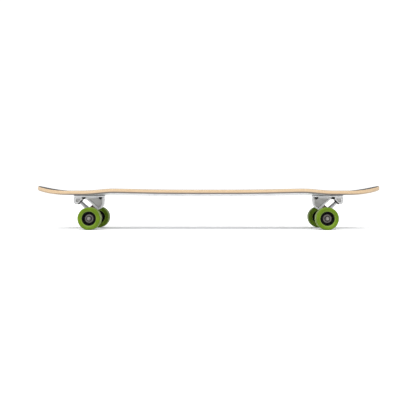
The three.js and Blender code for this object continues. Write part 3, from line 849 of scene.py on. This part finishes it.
def cast_baseplate():
    steer = steer_in_truck()
    outline = plan_outline(PLATE_INNER, PLATE_OUTER, PLATE_HALF_WIDTH, PLATE_CORNER)
    body = prism("cast_baseplate", outline, PLATE_BOTTOM, PLATE_TOP)
    seat = [(0, SEAT_HEIGHT), (12.4, SEAT_HEIGHT), (12.4, SEAT_HEIGHT + 6), (0, SEAT_HEIGHT + 14)]
    combine(body, [kingpin_block(), pivot_boss(), spun("seat", seat, steer, 48, False)], "UNION")
    bore = [(0, 0), (5.06, 0), (5.06, HEAD_Z), (8.5, HEAD_Z), (8.5, 80), (0, 80)]
    cup = [(0, PIVOT_X - 5), (7.4, PIVOT_X - 5), *arc(7.4, BALL_X, 0, math.pi / 2, 8)]
    cutters = [spun("bore", bore, steer, 40, False), spun("cup", cup, along_x(steer), 40, False)]
    for side in (1, -1):
        cutters += [block_pocket(side), boss_pocket(side)]
    cutters += bolt_cutters([*BOLT_U, SPARE_HOLE_U], at_origin())
    plate = cast_surface(combine(body, cutters, "DIFFERENCE"), 0.55, 3, at_origin())
    mark_shaded_panels(plate)
    return plate


def mark_shaded_panels(plate):
    """Marks the floors of the sunk side panels, which the aluminium paints darker as shade in the
    recesses.
    """
    values = []
    for vertex in plate.data.vertices:
        x, y, z = vertex.co
        face = BLOCK_HALF_WIDTH if x < 30 else BOSS_HALF_WIDTH
        depth = face - abs(y)
        level = PLATE_BOTTOM - 2 > z > 60
        values.append(1.0 if level and 0.9 < depth < 2.8 and abs(vertex.normal.y) > 0.7 else 0.0)
    plate.data.attributes.new("panel_shade", "FLOAT", "POINT").data.foreach_set("value", values)


def hanger_arms():
    stations = [-90 + 180 * k / 48 for k in range(49)]
    skin = [(9 + 4 * max(0.0, 1 - abs(y) / 62) ** 1.5, y) for y in stations]
    profile = [(0, -HANGER_HALF_WIDTH), *skin, (0, HANGER_HALF_WIDTH)]
    place = along_y(Matrix.Translation((AXLE_X, 0, AXLE_Z)))
    return spun("cast_hanger", profile, place, 48, False)


def hanger_web():
    outline = [(-6, RING_TOP), (-15, RING_TOP)]
    outline += bezier((-15, RING_TOP), (AXLE_X - 11, AXLE_Z + 9), (AXLE_X - 12, AXLE_Z - 2))
    low = (AXLE_X + 6, AXLE_Z - 11)
    outline += bezier((AXLE_X - 12, AXLE_Z - 2), (AXLE_X - 8, AXLE_Z - 13), low)
    outline += [(-8, -RING_TOP), (-6, -RING_TOP)]
    return prism("web", outline, -16, 16, upright=False)


def hanger_wings():
    half = [(2, 15), *bezier((2, 15), (-9, 20), (AXLE_X + 6, 48)), (AXLE_X - 5, 48)]
    mirrored = [(x, -y) for x, y in reversed(half)]
    return prism("wings", [*half, (AXLE_X - 9, 0), *mirrored], -RING_TOP, 8 - RING_TOP)


def pivot_arm():
    profile = [(0, 10), (8, 10), (8, 17), (6.6, 30), (BALL_RADIUS, PIVOT_X - 4)]
    profile += arc(BALL_RADIUS, BALL_X, 0, math.pi / 2, 10)
    return spun("pivot_arm", profile, along_x(at_origin()), 40, False)


def disc(name, radius, low, high, place, segments=64):
    return spun(name, [(0, low), (radius, low), (radius, high), (0, high)], place, segments, False)


def cast_hanger():
    flat = at_origin()
    body = hanger_arms()
    ring = disc("ring", RING_RADIUS, -RING_TOP, RING_TOP, flat)
    combine(body, [ring, hanger_web(), hanger_wings(), pivot_arm()], "UNION")
    relief = [(-11.6, -22), (50, -22), (50, 22), (-11.6, 22)]
    axle = along_y(Matrix.Translation((AXLE_X, 0, AXLE_Z)))
    cutters = [
        disc("hole", 8, -30, 30, flat),
        disc("seat", 13.3, RING_TOP, 40, flat),
        prism("relief", relief, -45, -RING_TOP),
        disc("bore", 4.05, -100, 100, axle, 32),
    ]
    return cast_surface(combine(body, cutters, "DIFFERENCE"), 0.6, 5, at_origin())


def copy_to(original, name, place):
    mesh = original.data.copy()
    mesh.name = name
    mesh.transform(place)
    piece = bpy.data.objects.new(name, mesh)
    bpy.context.scene.collection.objects.link(piece)
    return piece


# ---- kingpin and what it clamps, in the steering frame ----

WASHER_TOP = SEAT_HEIGHT - 0.05
WASHER_LOW = WASHER_TOP - 1.9
ROAD_TOP = -RING_TOP
ROAD_LOW = ROAD_TOP - 11.5
CUP_LOW = ROAD_LOW - 1.6
PIN_NUT_LOW = CUP_LOW - 8.2
PIN_END = PIN_NUT_LOW - 2.3


def make_kingpin(end, place):
    head = HEAD_Z + 0.05
    profile = [
        (0, PIN_END), (KINGPIN_RADIUS - 0.8, PIN_END), (KINGPIN_RADIUS, PIN_END + 0.8),
        *threaded(KINGPIN_RADIUS, PIN_END + 0.8, CUP_LOW + 4), (KINGPIN_RADIUS, CUP_LOW + 4.5),
        (KINGPIN_RADIUS, head + 0.3), (0, head + 0.3),
    ]
    shaft = spun(f"{end}_kingpin_shaft", profile, place, 48, closed=False)
    place_piece(shaft, "board", STEEL, "steel", f"{end}_kingpin")
    hexagon = nut_profile(KINGPIN_HEX, 0.01, head, head + 6)
    top = spun(f"{end}_kingpin_head", hexagon, place, 96, sharp=25)
    place_piece(top, "board", STEEL, "steel")
    hexagon = nut_profile(KINGPIN_HEX, KINGPIN_RADIUS, PIN_NUT_LOW + 1.6, CUP_LOW - 0.1)
    nut = spun(f"{end}_kingpin_lock_nut", hexagon, place, 96, sharp=25)
    place_piece(nut, "board", STEEL, "steel", f"{end}_kingpin_nut")
    collar = filleted([(4.8, PIN_NUT_LOW), (6.2, PIN_NUT_LOW), (6.6, PIN_NUT_LOW + 2.2),
                       (4.8, PIN_NUT_LOW + 2.2)], 0.5)
    ring = spun(f"{end}_kingpin_nut_collar", collar, place, 64)
    place_piece(ring, "board", NYLON, "black_plastic")


def make_washers(end, place):
    seat = filleted([(PIN_HOLE_RADIUS, WASHER_LOW), (12.4, WASHER_LOW), (12.4, WASHER_TOP),
                     (PIN_HOLE_RADIUS, WASHER_TOP)], 0.5)
    washer = spun(f"{end}_flat_washer", seat, place, 72)
    place_piece(washer, "board", STEEL, "steel", f"{end}_seat_washer")
    cup = [(PIN_HOLE_RADIUS, CUP_LOW), (10.2, CUP_LOW), (11, CUP_LOW + 1.0),
           (11, ROAD_LOW + 2.4), (10.2, ROAD_LOW + 2.4), (10.1, ROAD_LOW + 0.2),
           (PIN_HOLE_RADIUS, ROAD_LOW + 0.02)]
    dished = spun(f"{end}_dished_washer", filleted(cup, 0.35), place, 72)
    place_piece(dished, "board", STEEL, "steel", f"{end}_cup_washer")


def make_bushing(end, kind, place, profile):
    bushing = spun(f"{end}_{kind}_urethane", filleted(profile, 1.2, 6), place, 72, sharp=60)
    subdivide_along(bushing)
    bushing.data.materials.append(BUSHING)
    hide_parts(f"{end}_{kind}_bushing")
    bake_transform(bushing)


def subdivide_along(piece):
    shape = bmesh.new()
    shape.from_mesh(piece.data)
    long_edges = [e for e in shape.edges if e.calc_length() > 0.0022]
    bmesh.ops.subdivide_edges(shape, edges=long_edges, cuts=3, use_grid_fill=True)
    shape.to_mesh(piece.data)
    shape.free()


def make_bushings(end, place):
    board = [(PIN_HOLE_RADIUS, RING_TOP), (11.4, RING_TOP), (12.3, RING_TOP + 7.2),
             (11.4, WASHER_LOW), (PIN_HOLE_RADIUS, WASHER_LOW)]
    road = [(PIN_HOLE_RADIUS, ROAD_LOW), (8.4, ROAD_LOW), (9.7, ROAD_TOP - 1.5),
            (9.7, ROAD_TOP), (PIN_HOLE_RADIUS, ROAD_TOP)]
    make_bushing(end, "boardside", place, board)
    make_bushing(end, "roadside", place, road)


def make_pivot_cup(end, place):
    inside = arc(CUP_INSIDE_RADIUS, BALL_X, math.pi / 2, 0, 10)
    outside = arc(CUP_OUTSIDE_RADIUS, BALL_X, 0, math.pi / 2, 10)
    low = PIVOT_X - 2.3
    lip = [(CUP_INSIDE_RADIUS, low + 0.5), (6.5, low), (9.8, low), (10.3, low + 0.6),
           (10.3, PIVOT_X - 0.1), (CUP_OUTSIDE_RADIUS, PIVOT_X - 0.05)]
    cup = spun(f"{end}_pivot_bush", [*inside, *lip, *outside], along_x(place), 64, closed=False)
    place_piece(cup, "board", RUBBER, "black_rubber", f"{end}_pivot_cup")


# ---- axle and wheels ----

def make_axle(end, place):
    half = AXLE_HALF_LENGTH
    tail = threaded(AXLE_RADIUS, 0, 9, 1.05)
    low = [(r, z - half + 0.8) for r, z in tail]
    high = [(r, half - 0.8 - z) for r, z in reversed(tail)]
    profile = [(0, -half), (3.2, -half), *low, (AXLE_RADIUS, -half + 10.5),
               (AXLE_RADIUS, half - 10.5), *high, (3.2, half), (0, half)]
    axle = spun(f"{end}_axle_rod", profile, place, 48, closed=False)
    place_piece(axle, f"{end}_hanger_assembly", AXLE_STEEL, "steel", f"{end}_axle")


def make_tyre(corner, place):
    half = [
        (CORE_RADIUS, 19.0), (CORE_RADIUS + 0.7, 19.5), (25.6, 22.7), (28.0, 23.6),
        (31.2, WHEEL_HALF_WIDTH), (33.4, 23.2), (WHEEL_RADIUS, 20.6), (WHEEL_RADIUS, 16.0),
    ]
    outline = [*half, *[(r, -z) for r, z in reversed(half)]]
    profile = filleted(outline, 1.6, 6)
    tyre = spun(f"{corner}_urethane_tyre", profile, place, 128, sharp=50)
    mark_by_radius(tyre, place, "tread", lambda r, z: r > WHEEL_RADIUS - 0.4)
    # Marks the inner bevel, which the urethane paints paler as a highlight.
    mark_by_radius(tyre, place, "bevel_highlight", lambda r, z: r < 25.2)
    place_piece(tyre, corner + "_wheel", URETHANE, "green_urethane", f"{corner}_tyre")


def mark_by_radius(piece, place, name, chosen):
    """Marks the vertices whose radius and height in a turned piece's frame are chosen."""
    back = place.inverted()
    values = []
    for vertex in piece.data.vertices:
        x, y, z = back @ vertex.co
        values.append(1.0 if chosen(math.hypot(x, y), z) else 0.0)
    piece.data.attributes.new(name, "FLOAT", "POINT").data.foreach_set("value", values)


def make_core(corner, place):
    """Hub, web and rim in black nylon, with radial ribs on both faces of the web."""
    half = [(9.2, 4.9), (11.1, 4.9), (11.1, 12.0), (13.2, 12.0), (14.2, 4.0), (19.4, 3.4),
            (20.4, 18.2), (CORE_RADIUS - 0.05, 18.8)]
    outline = [*half, *[(r, -z) for r, z in reversed(half)]]
    core = spun(f"{corner}_nylon_core", filleted(outline, 0.5, 3), place, 96)
    shape = bmesh.new()
    shape.from_mesh(core.data)
    for k in range(RIBS):
        for face in (1, -1):
            turn = Matrix.Rotation(2 * math.pi * (k + 0.25 * face) / RIBS, 4, "Z")
            add_rib(shape, place @ turn, face)
    shape.to_mesh(core.data)
    shape.free()
    # The lip marked here is painted grey in the nylon as a highlight.
    mark_by_radius(core, place, "lip", lambda r, z: 11.3 < r < 13.3 and abs(z) > 11.4)
    core.data.shade_smooth()
    core.data.set_sharp_from_angle(angle=math.radians(35))
    place_piece(core, corner + "_wheel", NYLON, "black_plastic", f"{corner}_wheel_core")


def add_rib(shape, place, face):
    """A thin tapering wall from hub to rim, standing on the web."""
    thick = 0.75
    side = [(13.2, 3.2), (20.6, 2.8), (20.9, 12.0), (13.4, 9.0)]
    made = []
    for y in (-thick, thick):
        made.append([shape.verts.new(place @ Vector((x, y, face * z))) for x, z in side])
    for i in range(4):
        j = (i + 1) % 4
        shape.faces.new((made[0][i], made[0][j], made[1][j], made[1][i]))
    shape.faces.new(made[0][::-1])
    shape.faces.new(made[1])
    bmesh.ops.recalc_face_normals(shape, faces=shape.faces)


def race_profile(inside, outside, fillet):
    half = BEARING_HALF_WIDTH
    corners = [(inside, -half), (outside, -half), (outside, half), (inside, half)]
    return filleted(corners, fillet, 3)


def make_bearing(corner, which, place):
    node = f"{corner}_{which}_bearing"
    ring = spun(node + "_outer_race", race_profile(9.4, BEARING_RADIUS, 0.35), place, 96)
    place_piece(ring, corner + "_wheel", SHADED_RACE_STEEL, "steel", node)
    race = spun(node + "_inner_race", race_profile(4.03, 5.9, 0.3), place, 64)
    place_piece(race, corner + "_wheel", SHADED_RACE_STEEL, "steel")
    for side, name in ((1, "outer_shield"), (-1, "inner_shield")):
        plate = [(5.95, side * 3.0), (6.6, side * 3.15), (8.6, side * 3.15), (9.35, side * 2.9),
                 (9.35, side * 2.5), (5.95, side * 2.5)]
        shield = spun(f"{node}_{name}", plate, place, 64)
        place_piece(shield, corner + "_wheel", SEAL, "black_rubber")


def make_washer(corner, name, place, nodes):
    profile = filleted([(4.1, -0.5), (6.3, -0.5), (6.3, 0.5), (4.1, 0.5)], 0.25, 3)
    washer = spun(f"{corner}_{name}", profile, place, 48)
    place_piece(washer, hanger_body(corner), STEEL, "steel", *nodes)


def hanger_body(corner):
    return corner.split("_")[0] + "_hanger_assembly"


def make_axle_nut(corner, place):
    profile = nut_profile(AXLE_NUT_HEX, 4.02, -3.0, 2.0)
    nut = spun(f"{corner}_lock_nut", profile, place, 96, sharp=25)
    place_piece(nut, hanger_body(corner), DARK_STEEL, "steel", f"{corner}_axle_nut")
    crown = filleted([(4.05, 1.9), (5.6, 1.9), (5.2, 3.0), (4.05, 3.0)], 0.4, 3)
    ring = spun(f"{corner}_lock_nut_insert", crown, place, 64)
    place_piece(ring, hanger_body(corner), AXLE_STEEL, "steel")


def make_wheel(end, side):
    corner = f"{end}_{side}"
    place = wheel_frame(end, side)

    def shifted(distance):
        return place @ Matrix.Translation((0, 0, distance))

    make_tyre(corner, place)
    make_core(corner, place)
    make_bearing(corner, "inner", shifted(-BEARING_OFFSET))
    make_bearing(corner, "outer", shifted(BEARING_OFFSET))
    make_washer(corner, "outer_speed_washer", shifted(WASHER_OFFSET), [f"{corner}_speed_washer"])
    make_washer(corner, "inner_speed_washer", shifted(-WASHER_OFFSET), [])
    make_axle_nut(corner, shifted(NUT_OFFSET))
    spacer = frame["nodes"][f"{corner}_bearing_spacer"]
    spacer.data.materials.clear()
    spacer.data.materials.append(STEEL)


# ---- trucks ----

def make_truck(end, direction, baseplate, hanger):
    truck = truck_frame(end, direction)
    steer = steer_frame(end, direction)
    make_riser(end, truck)
    plate = copy_to(baseplate, f"{end}_cast_baseplate", truck)
    place_piece(plate, "board", ALUMINIUM, "cast_aluminium", f"{end}_baseplate")
    casting = copy_to(hanger, f"{end}_cast_hanger", steer)
    body = f"{end}_hanger_assembly"
    place_piece(casting, body, SHADED_HANGER_ALUMINIUM, "cast_aluminium", f"{end}_hanger")
    make_kingpin(end, steer)
    make_washers(end, steer)
    make_bushings(end, steer)
    make_pivot_cup(end, steer)
    make_axle(end, along_y(truck @ Matrix.Translation((0, 0, WHEEL_RADIUS))))
    for side in SIDES:
        make_wheel(end, side)


def make_board():
    make_deck()
    make_tape()
    for node, place in bolt_places():
        make_bolt(node, place)
    baseplate = cast_baseplate()
    hanger = cast_hanger()
    for end, direction in ENDS:
        make_truck(end, direction, baseplate, hanger)
    bpy.data.objects.remove(baseplate)
    bpy.data.objects.remove(hanger)


# ---- studio ----

def studio_material():
    surface = Surface("studio_white", roughness=0.9)
    grain = surface.noise(3.0, 2.0)
    white = surface.ramp(grain, (0.3, (0.90, 0.90, 0.90)), (0.7, (0.93, 0.93, 0.93)))
    surface.set(Base_Color=white)
    surface.set(Specular_IOR_Level=0.1, Emission_Color=(1.0, 1.0, 1.0), Emission_Strength=0.12)
    return surface.material


def make_floor():
    """A wide pale floor, whose far edge is lost in the white surroundings."""
    reach = 60.0
    corners = [(-reach, -reach, 0), (reach, -reach, 0), (reach, reach, 0), (-reach, reach, 0)]
    floor = add_object("studio_floor", corners, [(0, 1, 2, 3)])
    floor.data.materials.append(studio_material())


def make_world():
    """White all round near the horizon and behind the board, and dimmer overhead and in front."""
    world = bpy.data.worlds.new("studio")
    world.use_nodes = True
    bpy.context.scene.world = world
    tree = world.node_tree
    axes = tree.nodes.new("ShaderNodeSeparateXYZ")
    place = tree.nodes.new("ShaderNodeTexCoord")
    tree.links.new(place.outputs["Generated"], axes.inputs[0])

    def level(value, low, high, low_out, high_out):
        made = tree.nodes.new("ShaderNodeMapRange")
        made.interpolation_type = "SMOOTHSTEP"
        tree.links.new(value, made.inputs["Value"])
        made.inputs["From Min"].default_value = low
        made.inputs["From Max"].default_value = high
        made.inputs["To Min"].default_value = low_out
        made.inputs["To Max"].default_value = high_out
        return made.outputs["Result"]

    back = level(axes.outputs["Y"], -0.2, 0.6, FRONT_GLOW, BACK_GLOW)
    share = level(axes.outputs["Z"], 0.25, 0.5, 1.0, OVERHEAD_GLOW)
    product = tree.nodes.new("ShaderNodeMath")
    product.operation = "MULTIPLY"
    tree.links.new(back, product.inputs[0])
    tree.links.new(share, product.inputs[1])
    shader = tree.nodes["Background"]
    shader.inputs["Color"].default_value = (1, 1, 1, 1)
    tree.links.new(product.outputs["Value"], shader.inputs["Strength"])


def make_lights():
    make_world()
    data = bpy.data.lights.new("soft_key", "SUN")
    data.energy = KEY_STRENGTH
    data.angle = math.radians(KEY_SPREAD)
    light = bpy.data.objects.new("soft_key", data)
    light.rotation_euler = (math.radians(35), 0, math.radians(-12))
    bpy.context.scene.collection.objects.link(light)


def make_camera():
    data = bpy.data.cameras.new("photo_camera")
    data.sensor_width = 36.0
    data.lens = 71.3
    data.clip_end = 200
    camera = bpy.data.objects.new("photo_camera", data)
    camera.location = (0.022, -2.65, 0.105)
    camera.rotation_euler = (math.radians(90 - 0.84), 0, math.radians(0.5))
    bpy.context.scene.collection.objects.link(camera)
    bpy.context.scene.camera = camera
    bpy.context.scene.view_settings.view_transform = "Standard"


make_board()
make_floor()
make_lights()
make_camera()
